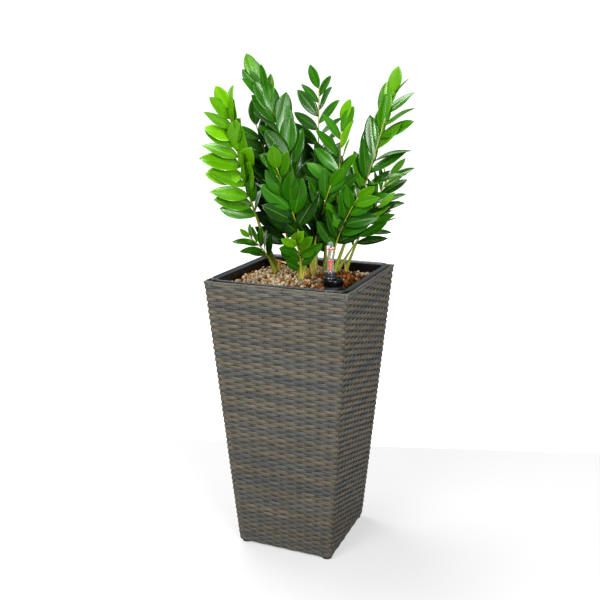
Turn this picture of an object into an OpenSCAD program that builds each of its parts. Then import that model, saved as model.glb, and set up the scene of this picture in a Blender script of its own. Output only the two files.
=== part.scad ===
// Self-watering planter: a tapered woven casing on a welded frame, with a lift-out liner that holds
// a water reservoir, a level gauge and a planted bed of granules.
// Millimetres, +Z up. The origin is the middle of the footprint, on the floor. The front faces -Y.

/* [Casing] */
// Width of the square casing at its top edge
top_w = 300; // [280:5:340]
// Width of the square casing at the floor
base_w = 208; // [190:2:240]
// Height from the floor to the top of the liner's rim
height = 580; // [540:5:660]
// Thickness of the flat strands that are woven outside the stakes
skin_t = 2.4; // [1.6:0.2:2.8]
// Diameter of each weaving stake
stake_d = 3; // [2:0.5:4]
// Gaps between stakes on each side
stake_gaps = 12; // [8:2:16]

/* [Frame] */
// Width of the square bar of the base ring
ring_bar = 12; // [10:1:14]
// Width of the square bar of the top ring
top_bar = 8; // [6:1:10]
// Width of the bars of the two hoops
hoop_bar = 6; // [5:0.5:8]
// Width of the square corner posts
post_w = 10; // [8:1:12]

/* [Liner] */
// Depth of the tub below its rim
tub_depth = 275; // [240:5:300]
// How far each side of the tub is set in at its floor
tub_taper = 18; // [16:1:20]
// Wall of the tub
tub_wall = 2.5; // [2:0.25:3.5]
// Radius of the tub's upright corners
tub_corner_r = 17; // [12:1:24]
// Width of the rim from the inside of the tub to its outer edge
rim_w = 14.6; // [13:0.2:16]
// Height of the water reservoir under the separator plate
reservoir_h = 65; // [60:5:80]

/* [Gauge] */
// Distance of the fill tube's axis from the middle, along X
fill_x = 93; // [84:1:93]
// Distance of the fill tube's axis from the middle, along Y
fill_y = -76; // [-84:1:-70]
// Distance of the gauge's axis from the fill tube's axis, along X
gauge_offset = -5.5; // [-6:0.5:-5]
// Height of the clear sight tube above its collar
sight_h = 57; // [54:1:65]
// Height of the MIN mark above the collar
min_mark_h = 19; // [16:0.5:22]
// Height of the MAX mark above the collar
max_mark_h = 42; // [36:0.5:46]

/* [Drain] */
// Diameter of the drain hole
drain_d = 20; // [14:1:24]
// Length of the plug's shaft below its head
plug_shaft = 9; // [8:1:12]

/* [Hidden] */
$fn = 48;
fine_fn = 96;
hull_fn = 32;
slope = (top_w - base_w) / 2 / height;       // how far a side moves out for each mm of height
foot_h = 5;
rim_t = 5;
binding_h = 7;
weave_depth = 7;                             // strands, stakes and strands again
ring_z = height - rim_t - top_bar;
skin_z0 = foot_h;
skin_z1 = height - rim_t - binding_h;
tub_z0 = height - rim_t - tub_depth;
tub_z1 = height - rim_t;
plate_t = 3;
plate_z = tub_z0 + tub_wall + reservoir_h;
bed_z0 = plate_z + plate_t;
bed_edge_z = height - 18;                    // granules against the tub's wall
bed_top_z = height - 9;                      // top of the mound of granules
stem_foot_z = height - 52;                   // where the stalks leave the rhizome
stalk_foot_h = 44;                           // upright foot of each stalk, sunk in the granules
hoop_low_z = 200;
hoop_high_z = 420;

fill_r = 17.5;
fill_wall = 2;
cap_r = 19.5;
cap_z = height - 7;
cap_t = 14;
collar_r = 11.4;
collar_h = 14;
collar_z = cap_z + cap_t;
sight_z = collar_z + collar_h;
sight_r0 = 6.6;
sight_r1 = 6;
sight_wall = 1.2;
stem_r = 9;
stem_wall = 1.3;
stem_z0 = tub_z0 + tub_wall + 3;
stem_floor = 3;
rod_r = 1.2;
pointer_r = 2.1;
pointer_h = 54;                              // the thick end of the rod that shows in the sight tube
float_r = 6.8;
float_h = 50;
float_wall = 0.8;
float_low = 12;                              // the float's travel down from MIN to an empty tub
float_z = stem_z0 + stem_floor + float_low + 0.5;
mark_t = 0.25;
mark_h = 1.6;
gauge_x = fill_x + gauge_offset;

seal_t = 2.5;
plug_head_t = 3;

function half_w(z) = base_w / 2 + slope * z;
function frame_half(z) = half_w(z) - weave_depth;
tub_half_top = frame_half(ring_z) - top_bar - 1;
function tub_half(z) = tub_half_top - tub_taper * (tub_z1 - z) / tub_depth;
function bed_half(z) = tub_half(z) - tub_wall - 0.3;

// Each frond: where its foot stands [x, y], where its tip is from the top of the foot [x, y, z], how it
// bows [share of the reach sideways, share of the rise], the direction its leaflets spread in, how
// many pairs of leaflets it has, and the lower share of its stalk that carries none.
FRONDS = [
    [[-71, 31], [-70, -68, 334], [0.85, 0.55], -20, 9, 0.32],
    [[-34, 62], [-104, 3, 394], [-0.10, 0.60], 29, 11, 0.26],
    [[-2, 73], [-13, 49, 373], [1.00, 0.55], -5, 10, 0.26],
    [[31, 48], [37, -19, 310], [1.00, 0.40], 1, 8, 0.26],
    [[49, 49], [98, 58, 362], [0.60, 0.50], 28, 10, 0.26],
    [[50, 68], [79, 32, 134], [0.50, 0.50], 26, 6, 0.26],
    [[4, 1], [-22, -92, 224], [0.10, 0.40], 22, 5, 0.45],
    [[-70, 14], [-32, -55, 77], [0.35, 0.65], 40, 5, 0.26],
    [[12, 21], [52, -36, 186], [0.00, 0.40], 23, 6, 0.26],
    [[-50, 60], [-97, 30, 298], [0.20, 0.40], 80, 8, 0.26],
    [[63, 85], [82, 32, 200], [0.40, 0.50], 34, 8, 0.26],
    [[21, 71], [-6, 17, 221], [-0.20, 0.60], 24, 7, 0.26],
    [[6, -26], [4, -42, 84], [0.00, 0.60], 20, 4, 0.26],
    [[56, 20], [64, -35, 165], [-0.10, 0.40], 14, 6, 0.26],
];

// ---------- shared shapes ----------

// A square prism whose sides follow the casing's taper, at a distance inside its outer face
module tapered_block(z0, z1, inset) {
    hull() for (z = [z0, z1 - 0.01])
        translate([0, 0, z]) linear_extrude(0.01) square(2 * (half_w(z) - inset), center = true);
}

module tapered_ring(z0, z1, inset, thickness) {
    difference() {
        tapered_block(z0, z1, inset);
        tapered_block(z0 - 1, z1 + 1, inset + thickness);
    }
}

// A level square ring of square bar
module square_ring(z, outer_half, bar, h) {
    translate([0, 0, z]) difference() {
        linear_extrude(h) square(2 * outer_half, center = true);
        translate([0, 0, -1]) linear_extrude(h + 2) square(2 * (outer_half - bar), center = true);
    }
}

module rounded_square(half, r) {
    offset(r, $fn = hull_fn) square(2 * (half - r), center = true);
}

// One thin level of the tub's tapering rounded square
module tub_level(z, half, r) {
    translate([0, 0, z]) linear_extrude(0.01) rounded_square(half, r);
}

// A solid that fills the tub between two levels, grown outwards by grow
module tub_block(z0, z1, grow) {
    hull() for (z = [z0, z1 - 0.01])
        tub_level(z, tub_half(z) + grow, tub_corner_r + grow);
}

module at_corners(half) {
    for (sx = [-1, 1], sy = [-1, 1]) translate([sx * half, sy * half, 0]) children();
}

// ---------- casing ----------

foot_hole_r = 4;
foot_x = base_w / 2 - weave_depth - ring_bar / 2;

module frame_base_ring() {
    color([0.16, 0.16, 0.17]) difference() {
        square_ring(foot_h, frame_half(foot_h), ring_bar, ring_bar);
        at_corners(foot_x) translate([0, 0, foot_h - 1]) cylinder(r = foot_hole_r, h = ring_bar + 2);
    }
}

module frame_top_ring() {
    color([0.16, 0.16, 0.17]) square_ring(ring_z, frame_half(ring_z), top_bar, top_bar);
}

module frame_hoop(z) {
    color([0.16, 0.16, 0.17]) difference() {
        square_ring(z, frame_half(z), hoop_bar, hoop_bar);
        for (sx = [-1, 1], sy = [-1, 1]) corner_post_solid(sx, sy, 0.05);
    }
}

// A leaning square post between the two rings, set into the corner of the frame
module corner_post_solid(sx, sy, grow) {
    z0 = foot_h + ring_bar;
    hull() for (z = [z0, ring_z - 0.01])
        translate([sx * (frame_half(z) - post_w / 2 - 0.5), sy * (frame_half(z) - post_w / 2 - 0.5), z])
            linear_extrude(0.01) square(post_w + 2 * grow, center = true);
}

module corner_post(sx, sy) {
    color([0.16, 0.16, 0.17]) corner_post_solid(sx, sy, 0);
}

// Two flat bars that cross inside the base ring
module base_cross_bars() {
    bar_w = 16;
    bar_t = 4;
    reach = 2 * (frame_half(foot_h) - ring_bar) - 0.1;
    color([0.16, 0.16, 0.17]) translate([0, 0, foot_h]) union() {
        translate([-reach / 2, -bar_w / 2, 0]) cube([reach, bar_w, bar_t]);
        translate([-bar_w / 2, -reach / 2, 0]) cube([bar_w, reach, bar_t]);
    }
}

// Leaning round rods, evenly spaced along each side and one at each corner
module weaving_stakes() {
    z0 = skin_z0 + 2;
    z1 = skin_z1 - 2;
    inset = skin_t + stake_d / 2 + 0.05;
    color([0.38, 0.34, 0.29]) for (side = [0 : 3]) rotate([0, 0, 90 * side])
        for (i = [0 : stake_gaps - 1]) {
            share = 2 * i / stake_gaps - 1;
            foot = [share * (half_w(z0) - inset), -(half_w(z0) - inset), z0];
            head = [share * (half_w(z1) - inset), -(half_w(z1) - inset), z1];
            along = head - foot;
            translate(foot)
                rotate([0, acos(along.z / norm(along)), atan2(along.y, along.x)])
                    cylinder(d = stake_d, h = norm(along), $fn = 24);
        }
}

module woven_skin() {
    color([0.40, 0.38, 0.34]) tapered_ring(skin_z0, skin_z1, 0, skin_t);
}

module woven_rim_binding() {
    color([0.42, 0.40, 0.36]) tapered_ring(skin_z1, skin_z1 + binding_h, 0, weave_depth - 0.2);
}

// A glide with a stem that pushes up into the base ring
module foot(sx, sy) {
    color([0.08, 0.08, 0.08]) translate([sx * foot_x, sy * foot_x, 0]) union() {
        cylinder(r1 = 9.5, r2 = 11, h = 1.5);
        translate([0, 0, 1.5]) cylinder(r = 11, h = foot_h - 1.5);
        cylinder(r = foot_hole_r, h = foot_h + ring_bar - 2);
    }
}

// ---------- liner ----------

// An open tub whose rolled rim rests on the top ring
module liner_tub() {
    rim_out = tub_half_top - tub_wall + rim_w;
    rim_r = tub_corner_r + rim_w - tub_wall;
    color([0.10, 0.105, 0.115]) difference() {
        union() {
            tub_block(tub_z0, tub_z1 + rim_t, 0);
            hull() {
                tub_level(tub_z1, rim_out - 0.8, rim_r - 0.8);
                tub_level(tub_z1 + 1, rim_out, rim_r);
                tub_level(tub_z1 + rim_t - 1.6, rim_out, rim_r);
                tub_level(tub_z1 + rim_t - 0.01, rim_out - 1.8, rim_r - 1.8);
            }
        }
        tub_block(tub_z0 + tub_wall, tub_z1 + rim_t + 2, -tub_wall);
        translate([0, 0, tub_z0 - 1]) cylinder(d = drain_d, h = tub_wall + 2);
    }
}

cup_r = 24;
cup_wall = 1.6;
cup_floor_r = 17;
cup_depth = reservoir_h + plate_t - 2;
cup_spots = [[-62, -62], [-62, 62], [62, 62]];

// A false floor with water holes, an opening for the fill tube and one for each wicking cup
module separator_plate() {
    hole_pitch = 15;
    color([0.12, 0.12, 0.13]) translate([0, 0, plate_z]) difference() {
        linear_extrude(plate_t) rounded_square(bed_half(plate_z) - 0.4, tub_corner_r - 3);
        translate([fill_x, fill_y, -1]) cylinder(r = fill_r + 0.4, h = plate_t + 2);
        for (spot = cup_spots) translate([spot.x, spot.y, -1]) cylinder(r = cup_r, h = plate_t + 2);
        for (i = [-2 : 2], j = [-1 : 1])
            translate([i * hole_pitch, j * hole_pitch, -1]) cylinder(r = 2.5, h = plate_t + 2, $fn = 24);
    }
}

// Four tubes that hold the plate above the tub's floor
module separator_legs() {
    color([0.12, 0.12, 0.13]) for (spot = [[-82, 0], [0, 82], [0, -82], [82, 6]])
        translate([spot.x, spot.y, tub_z0 + tub_wall]) difference() {
            cylinder(r = 8, h = reservoir_h);
            translate([0, 0, -1]) cylinder(r = 6, h = reservoir_h + 2);
        }
}

// A slotted basket that hangs from the plate and lets the granules reach the water
module wicking_cup(spot) {
    color([0.12, 0.12, 0.13]) translate([spot.x, spot.y, bed_z0]) difference() {
        union() {
            translate([0, 0, -cup_depth]) cylinder(r1 = cup_floor_r, r2 = cup_r - 1, h = cup_depth);
            cylinder(r = cup_r + 3, h = 2);
        }
        cup_filling(0);
        for (turn = [0 : 60 : 300]) rotate([0, 0, turn])
            translate([8, -2, 6 - cup_depth]) cube([cup_r, 4, cup_depth - 16]);
    }
}

// The room inside a cup, or the granules that fill it when they are set in from its wall by a gap
module cup_filling(gap) {
    inner_r = cup_wall + gap;
    translate([0, 0, 2 - cup_depth + gap])
        cylinder(r1 = cup_floor_r - inner_r, r2 = cup_r - 1 - inner_r, h = cup_depth + 3 - gap);
}

// The upright pipe that water is poured into; notches at its foot let the water out
module fill_tube() {
    z0 = tub_z0 + tub_wall;
    color([0.09, 0.09, 0.10]) translate([fill_x, fill_y, z0]) difference() {
        cylinder(r = fill_r, h = cap_z - z0, $fn = fine_fn);
        translate([0, 0, -1]) cylinder(r = fill_r - fill_wall, h = cap_z - z0 + 2, $fn = fine_fn);
        for (turn = [0, 90]) rotate([0, 0, turn])
            translate([-fill_r - 1, -5, -1]) cube([2 * fill_r + 2, 10, 11]);
    }
}

// Bulk of granules with a shallow mound that also fills the wicking cups, cleared around the fill
// tube, the stems and the rhizome
module granule_bed() {
    rise = bed_top_z - bed_edge_z;
    reach = bed_half(bed_edge_z);
    mound_r = (reach * reach + rise * rise) / (2 * rise);
    color([0.72, 0.66, 0.54]) difference() {
        union() {
            intersection() {
                tub_block(bed_z0 + 2, bed_top_z, -tub_wall - 0.3);
                translate([0, 0, bed_top_z - mound_r]) sphere(r = mound_r, $fn = fine_fn);
            }
            for (spot = cup_spots) translate([spot.x, spot.y, bed_z0]) cup_filling(0.2);
        }
        translate([fill_x, fill_y, bed_z0 - 1]) cylinder(r = fill_r + 0.3, h = height);
        translate([fill_x, fill_y, cap_z - 2]) cylinder(r = cap_r + 0.5, h = height);
        rhizome_solid();
        for (f = FRONDS) translate([f[0].x, f[0].y, stem_foot_z - 0.01])
            cylinder(r = stalk_base_r, h = height, $fn = 24);
    }
}

stalk_base_r = 7;

// Round tubers that the stems grow from
module rhizome_solid() {
    intersection() {
        union() {
            translate([-44, 20, stem_foot_z - 16]) sphere(r = 46);
            translate([18, -2, stem_foot_z - 20]) sphere(r = 48);
            translate([36, 66, stem_foot_z - 18]) sphere(r = 50);
            translate([-22, 52, stem_foot_z - 14]) sphere(r = 44);
        }
        translate([-150, -150, stem_foot_z - 70]) cube([300, 300, 70]);
    }
}

module plant_rhizome() {
    color([0.55, 0.45, 0.30]) rhizome_solid();
}

// ---------- plant ----------

stalk_tip_r = 1.3;
stalk_steps = 10;
leaf_l = 70;
leaf_w = 30;
leaf_t = 1.2;

// A stalk leaves the bed leaning outwards and turns upright towards its tip
function stalk_point(f, t) =
    let (start = [f[0].x, f[0].y, stem_foot_z + stalk_foot_h],
         end = start + f[1],
         bend = start + [f[2][0] * f[1].x, f[2][0] * f[1].y, f[2][1] * f[1].z])
    (1 - t) * (1 - t) * start + 2 * t * (1 - t) * bend + t * t * end;
function unit(v) = v / norm(v);
function stalk_along(f, t) = unit(stalk_point(f, t + 0.01) - stalk_point(f, t - 0.01));
function stalk_r(t) = stalk_tip_r + (stalk_base_r - 1.2 - stalk_tip_r) * pow(1 - t, 2.2);

// The direction square to the stalk in which its leaflets spread
function leaf_side(f, t) =
    let (along = stalk_along(f, t), level = [cos(f[3]), sin(f[3]), 0])
    unit(level - (level * along) * along);

// Leaflets stand out from the stalk at its foot and close up towards its tip
function leaf_lean(t) = 60 - 26 * t;

// Leaflets are longest at mid-stalk and get smaller at both ends
function leaf_scale(t) = 0.72 + 0.36 * sin(180 * t);

module leaflet(root, along, side, lean, size) {
    length = leaf_l * size;
    width = leaf_w * size / 2;
    ahead = unit(cos(lean) * along + sin(lean) * side);
    across = unit(cross(cross(ahead, along), ahead));
    up = cross(ahead, across);
    middle = root + 0.5 * length * ahead;
    polyhedron(
        points = [root, middle + width * across, root + length * ahead, middle - width * across,
                  middle + leaf_t * up, middle - leaf_t * up],
        faces = [[0, 1, 4], [1, 2, 4], [2, 3, 4], [3, 0, 4], [1, 0, 5], [2, 1, 5], [3, 2, 5], [0, 3, 5]]);
}

module frond(number) {
    f = FRONDS[number - 1];
    pairs = f[4];
    color([0.22, 0.52, 0.10]) union() {
        translate([f[0].x, f[0].y, stem_foot_z])
            cylinder(r = stalk_base_r - 0.4, h = stalk_foot_h + 2, $fn = 12);
        for (i = [0 : stalk_steps - 1]) hull() for (t = [i, i + 1] / stalk_steps)
            translate(stalk_point(f, t)) sphere(r = stalk_r(t), $fn = 8);
        for (i = [0 : pairs - 1], turn = [-1, 1]) {
            t = f[5] + (0.98 - f[5]) * (i + 0.25 + 0.25 * turn) / pairs;
            leaflet(stalk_point(f, t), stalk_along(f, t), turn * leaf_side(f, t),
                leaf_lean(t), leaf_scale(t));
        }
        leaflet(stalk_point(f, 0.985), stalk_along(f, 0.99), leaf_side(f, 0.99), 12, 0.8);
    }
}

// ---------- gauge ----------

// The lid of the fill tube: it carries the gauge and has a hole beside it to pour through
module fill_cap() {
    color([0.07, 0.07, 0.08]) translate([fill_x, fill_y, cap_z]) difference() {
        union() {
            cylinder(r = cap_r, h = cap_t - 1.5, $fn = fine_fn);
            translate([0, 0, cap_t - 1.5]) cylinder(r1 = cap_r, r2 = cap_r - 1.5, h = 1.5, $fn = fine_fn);
            translate([0, 0, -6]) cylinder(r = fill_r - fill_wall - 0.1, h = 6.01, $fn = fine_fn);
        }
        translate([gauge_offset, 0, -7]) cylinder(r = stem_r + 0.1, h = cap_t + 8);
        translate([10.2, 0, -7]) cylinder(r = 3.9, h = cap_t + 8);
    }
}

// The tube that the float slides in, open to the water at its foot
module gauge_stem() {
    color([0.20, 0.21, 0.22]) translate([gauge_x, fill_y, stem_z0]) difference() {
        cylinder(r = stem_r, h = collar_z - stem_z0);
        translate([0, 0, stem_floor]) cylinder(r = stem_r - stem_wall, h = collar_z - stem_z0);
        translate([0, 0, -1]) cylinder(r = 4, h = stem_floor + 2);
        for (turn = [0, 90]) rotate([0, 0, turn])
            translate([-stem_r - 1, -1.5, 5]) cube([2 * stem_r + 2, 3, 24]);
    }
}

// A ribbed nut that clamps the sight tube onto the cap
module gauge_collar() {
    ribs = 24;
    color([0.06, 0.07, 0.09]) translate([gauge_x, fill_y, collar_z]) difference() {
        union() {
            cylinder(r = collar_r - 0.5, h = collar_h - 1.2, $fn = fine_fn);
            for (i = [0 : ribs - 1]) rotate([0, 0, i * 360 / ribs])
                translate([collar_r - 0.6, 0, 1.5]) cylinder(r = 0.6, h = collar_h - 5, $fn = 16);
            cylinder(r = collar_r, h = 1.5, $fn = fine_fn);
        }
        translate([0, 0, -1]) cylinder(r = sight_r0 + 0.1, h = collar_h + 2);
    }
}

// A clear tube with a domed end, narrowing upwards, and a flange that lies on the collar
module sight_tube() {
    flange_t = 1.2;
    dome_z = sight_h - sight_r1;
    flange_r = collar_r + 0.4;
    color([0.85, 0.88, 0.88, 0.4]) translate([gauge_x, fill_y, sight_z - flange_t])
        rotate_extrude($fn = fine_fn) polygon(concat(
            [[sight_r0 - sight_wall, 0], [flange_r, 0], [flange_r, flange_t], [sight_r0, flange_t]],
            [for (a = [0 : 9 : 90]) [sight_r1 * cos(a), flange_t + dome_z + sight_r1 * sin(a)]],
            [for (a = [90 : -9 : 0])
                [(sight_r1 - sight_wall) * cos(a), flange_t + dome_z + (sight_r1 - sight_wall) * sin(a)]]));
}

function sight_r(h) = sight_r0 + (sight_r1 - sight_r0) * h / (sight_h - sight_r1);

// Two painted bands on the sight tube
module level_marks() {
    color([0.80, 0.05, 0.06]) for (h = [min_mark_h, max_mark_h])
        translate([gauge_x, fill_y, sight_z]) rotate_extrude($fn = fine_fn) polygon([
            [sight_r(h - mark_h / 2), h - mark_h / 2], [sight_r(h - mark_h / 2) + mark_t, h - mark_h / 2],
            [sight_r(h + mark_h / 2) + mark_t, h + mark_h / 2], [sight_r(h + mark_h / 2), h + mark_h / 2]]);
}

// One solid of the float's outline, set in by inset
module float_solid(inset) {
    r = float_r - inset;
    end = 2;
    translate([0, 0, inset]) union() {
        cylinder(r1 = r - end, r2 = r, h = end);
        translate([0, 0, end]) cylinder(r = r, h = float_h - 2 * end - 2 * inset);
        translate([0, 0, float_h - end - 2 * inset]) cylinder(r1 = r, r2 = r - end, h = end);
    }
}

// A thin hollow float
module float_body() {
    color([0.92, 0.92, 0.90]) translate([gauge_x, fill_y, float_z]) difference() {
        float_solid(0);
        float_solid(float_wall);
    }
}

// A thin rod that stands on the float, with a thick end that shows in the sight tube
module float_rod() {
    z0 = float_z + float_h;
    tip_h = 1;
    top = sight_z + min_mark_h - z0;
    color([0.85, 0.03, 0.04]) translate([gauge_x, fill_y, z0]) union() {
        cylinder(r = rod_r, h = top - pointer_h);
        translate([0, 0, top - pointer_h]) cylinder(r = pointer_r, h = pointer_h - tip_h);
        translate([0, 0, top - tip_h]) cylinder(r1 = pointer_r, r2 = pointer_r - 0.7, h = tip_h);
    }
}

// ---------- drain ----------

// A screw plug in the tub's floor, with a bar to turn it by
module drain_plug() {
    head_r = drain_d / 2 + 6;
    z0 = tub_z0 - seal_t;
    color([0.07, 0.07, 0.08]) translate([0, 0, z0]) union() {
        cylinder(r = drain_d / 2 - 0.1, h = plug_shaft);
        translate([0, 0, -plug_head_t]) cylinder(r = head_r, h = plug_head_t);
        translate([-head_r + 2, -2, -plug_head_t - 9]) cube([2 * head_r - 4, 4, 9]);
    }
}

module drain_seal() {
    color([0.05, 0.05, 0.05]) translate([0, 0, tub_z0 - seal_t]) difference() {
        cylinder(r = drain_d / 2 + 4.5, h = seal_t);
        translate([0, 0, -1]) cylinder(r = drain_d / 2, h = seal_t + 2);
    }
}

frame_base_ring();
frame_top_ring();
frame_hoop(hoop_low_z);  // frame_hoop_lower
frame_hoop(hoop_high_z);  // frame_hoop_upper
corner_post(-1, -1);  // corner_post_front_left
corner_post(1, -1);  // corner_post_front_right
corner_post(-1, 1);  // corner_post_back_left
corner_post(1, 1);  // corner_post_back_right
base_cross_bars();
weaving_stakes();
woven_skin();
woven_rim_binding();
foot(-1, -1);  // foot_front_left
foot(1, -1);  // foot_front_right
foot(-1, 1);  // foot_back_left
foot(1, 1);  // foot_back_right
liner_tub();
separator_plate();
separator_legs();
wicking_cup(cup_spots[0]);  // wicking_cup_front_left
wicking_cup(cup_spots[1]);  // wicking_cup_back_left
wicking_cup(cup_spots[2]);  // wicking_cup_back_right
fill_tube();
granule_bed();
plant_rhizome();
frond(1);  // frond_01
frond(2);  // frond_02
frond(3);  // frond_03
frond(4);  // frond_04
frond(5);  // frond_05
frond(6);  // frond_06
frond(7);  // frond_07
frond(8);  // frond_08
frond(9);  // frond_09
frond(10);  // frond_10
frond(11);  // frond_11
frond(12);  // frond_12
frond(13);  // frond_13
frond(14);  // frond_14
fill_cap();
gauge_stem();
gauge_collar();
sight_tube();
level_marks();
float_body();
float_rod();
drain_plug();
drain_seal();
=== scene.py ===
import math
from collections import namedtuple

import bmesh
import bpy
import numpy as np
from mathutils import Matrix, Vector


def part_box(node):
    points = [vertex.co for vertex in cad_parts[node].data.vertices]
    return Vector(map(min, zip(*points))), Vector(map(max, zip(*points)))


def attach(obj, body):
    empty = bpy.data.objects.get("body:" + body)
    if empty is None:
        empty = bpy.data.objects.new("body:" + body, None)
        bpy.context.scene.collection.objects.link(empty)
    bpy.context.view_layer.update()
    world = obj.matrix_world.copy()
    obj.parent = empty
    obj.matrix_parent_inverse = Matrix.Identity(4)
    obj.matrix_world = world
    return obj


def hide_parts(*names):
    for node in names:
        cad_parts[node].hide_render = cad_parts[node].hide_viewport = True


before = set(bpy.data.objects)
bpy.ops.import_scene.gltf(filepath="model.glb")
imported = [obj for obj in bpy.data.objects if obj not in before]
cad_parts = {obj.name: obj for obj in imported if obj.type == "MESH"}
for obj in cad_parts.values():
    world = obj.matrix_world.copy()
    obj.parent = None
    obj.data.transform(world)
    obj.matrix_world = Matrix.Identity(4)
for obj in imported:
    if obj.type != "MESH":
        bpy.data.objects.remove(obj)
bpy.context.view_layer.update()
RNG = np.random.default_rng(11)
MM = 0.001
UP = np.array([0.0, 0.0, 1.0])


# ---------- mesh building ----------

class Shape:
    """Vertices, faces and per-vertex values of one piece, gathered from several parts."""

    def __init__(self):
        self.co = []
        self.faces = []
        self.values = {}
        self.count = 0

    def add(self, co, faces, **values):
        co = np.asarray(co, float).reshape(-1, 3)
        for name, value in values.items():
            value = np.asarray(value, float)
            if value.ndim == 0 or (value.ndim == 1 and value.shape[0] == 3 and len(co) != 3):
                value = np.broadcast_to(value, (len(co),) + value.shape)
            self.values.setdefault(name, []).append(value)
        self.co.append(co)
        for f in faces:
            if len(f):
                self.faces.append(np.asarray(f, int) + self.count)
        self.count += len(co)


def make_piece(name, shape, material, body, replaces=(), uv=None):
    """One Blender mesh object from a Shape, riding on a CAD body."""
    co = np.concatenate(shape.co)
    loops = np.concatenate([f.ravel() for f in shape.faces]).astype(np.int32)
    sizes = np.concatenate([np.full(len(f), f.shape[1]) for f in shape.faces])
    starts = np.concatenate([[0], np.cumsum(sizes)[:-1]]).astype(np.int32)
    mesh = bpy.data.meshes.new(name)
    mesh.vertices.add(len(co))
    mesh.vertices.foreach_set("co", co.ravel())
    mesh.loops.add(len(loops))
    mesh.loops.foreach_set("vertex_index", loops)
    mesh.polygons.add(len(sizes))
    mesh.polygons.foreach_set("loop_start", starts)
    mesh.update(calc_edges=True)
    mesh.polygons.foreach_set("use_smooth", np.full(len(sizes), True))
    for key, parts in shape.values.items():
        value = np.concatenate(parts)
        vector = value.ndim == 2
        layer = mesh.attributes.new(key, "FLOAT_VECTOR" if vector else "FLOAT", "POINT")
        layer.data.foreach_set("vector" if vector else "value", value.ravel())
    if uv is not None:
        layer = mesh.uv_layers.new(name="OFBake")
        layer.data.foreach_set("uv", np.concatenate(uv).ravel())
    mesh.validate()
    mesh.materials.append(material)
    obj = bpy.data.objects.new(name, mesh)
    bpy.context.scene.collection.objects.link(obj)
    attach(obj, body)
    if replaces:
        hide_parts(*replaces)


def dress(names, material):
    """Gives one material to CAD nodes that are shown as they are."""
    for name in names:
        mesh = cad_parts[name].data
        mesh.materials.clear()
        mesh.materials.append(material)


def axis_of(name):
    """Where an upright round CAD node's axis meets the floor."""
    lo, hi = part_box(name)
    return ((lo[0] + hi[0]) / 2, (lo[1] + hi[1]) / 2, 0)


def grid_faces(rows, cols, close_rows=False, close_cols=False):
    """Quads of a grid of rows x cols vertices."""
    r = np.arange(rows if close_rows else rows - 1)
    c = np.arange(cols if close_cols else cols - 1)
    r, c = np.meshgrid(r, c, indexing="ij")
    r2, c2 = (r + 1) % rows, (c + 1) % cols
    return np.stack([r * cols + c, r * cols + c2, r2 * cols + c2, r2 * cols + c], -1).reshape(-1, 4)


def slab_faces(rows, cols):
    """Faces of a closed slab: a top grid, a second grid below it, and walls between their edges."""
    m = rows * cols
    edge = np.concatenate([np.arange(cols), np.arange(1, rows) * cols + cols - 1,
                           (rows - 1) * cols + np.arange(cols - 2, -1, -1),
                           np.arange(rows - 2, 0, -1) * cols])
    after = np.roll(edge, -1)
    walls = np.stack([edge, edge + m, after + m, after], -1)
    return [grid_faces(rows, cols), grid_faces(rows, cols)[:, ::-1] + m, walls]


def tube_faces(rows, sides):
    """Faces of a tube of rings, closed at both ends."""
    n = rows * sides
    ends = [np.arange(sides)[None, ::-1], np.arange(n - sides, n)[None, :]]
    return [grid_faces(rows, sides, False, True), *ends]


def unit(v):
    v = np.asarray(v, float)
    return v / np.maximum(np.linalg.norm(v, axis=-1, keepdims=True), 1e-12)


def circle_points(radius, z, count):
    a = np.linspace(0, 2 * math.pi, count, endpoint=False)
    return np.stack([radius * np.cos(a), radius * np.sin(a), np.full(count, z)], -1)


def lathe(profile, at, turns=64, wave=None):
    """Surface of revolution about +Z through at; profile is a closed loop of (r, z) in mm."""
    p = np.asarray(profile, float) * MM
    a = np.linspace(0, 2 * math.pi, turns, endpoint=False)
    r = p[:, 0][None, :].repeat(turns, 0)
    if wave is not None:
        r = r + wave(a[:, None], p[None, :, 1])
    z = p[:, 1][None, :].repeat(turns, 0)
    co = np.stack([r * np.cos(a)[:, None], r * np.sin(a)[:, None], z], -1)
    co = co.reshape(-1, 3) + np.asarray(at, float)
    return co, [grid_faces(turns, len(p), True, True)[:, ::-1]]


def turned(profile, at, turns=64, wave=None):
    shape = Shape()
    shape.add(*lathe(profile, at, turns, wave))
    return shape


def tube(path, radius, sides):
    """Round tube along a path, closed at both ends."""
    path = np.asarray(path, float)
    radius = np.broadcast_to(radius, (len(path),))
    along = unit(np.gradient(path, axis=0))
    side = unit(np.cross(along, [0.31, 0.92, 0.23]))      # any direction that no path here runs in
    other = np.cross(along, side)
    a = np.linspace(0, 2 * math.pi, sides, endpoint=False)
    ring = np.cos(a)[None, :, None] * side[:, None, :] + np.sin(a)[None, :, None] * other[:, None, :]
    co = path[:, None, :] + ring * radius[:, None, None]
    return co.reshape(-1, 3), tube_faces(len(path), sides)


def noise1(x, seed):
    """Smooth one-dimensional noise between -1 and 1."""
    x = np.asarray(x, float) + seed * 17.31
    i = np.floor(x)
    f = x - i
    f = f * f * (3 - 2 * f)

    def h(n):
        v = np.sin(n * 127.1 + seed * 311.7) * 43758.5453
        return 2 * (v - np.floor(v)) - 1

    return h(i) * (1 - f) + h(i + 1) * f


def row_noise(row, step, seed):
    """One noise value for a whole row of strand."""
    return noise1(np.array([row * step]), seed)[0]


# ---------- materials ----------

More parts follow.
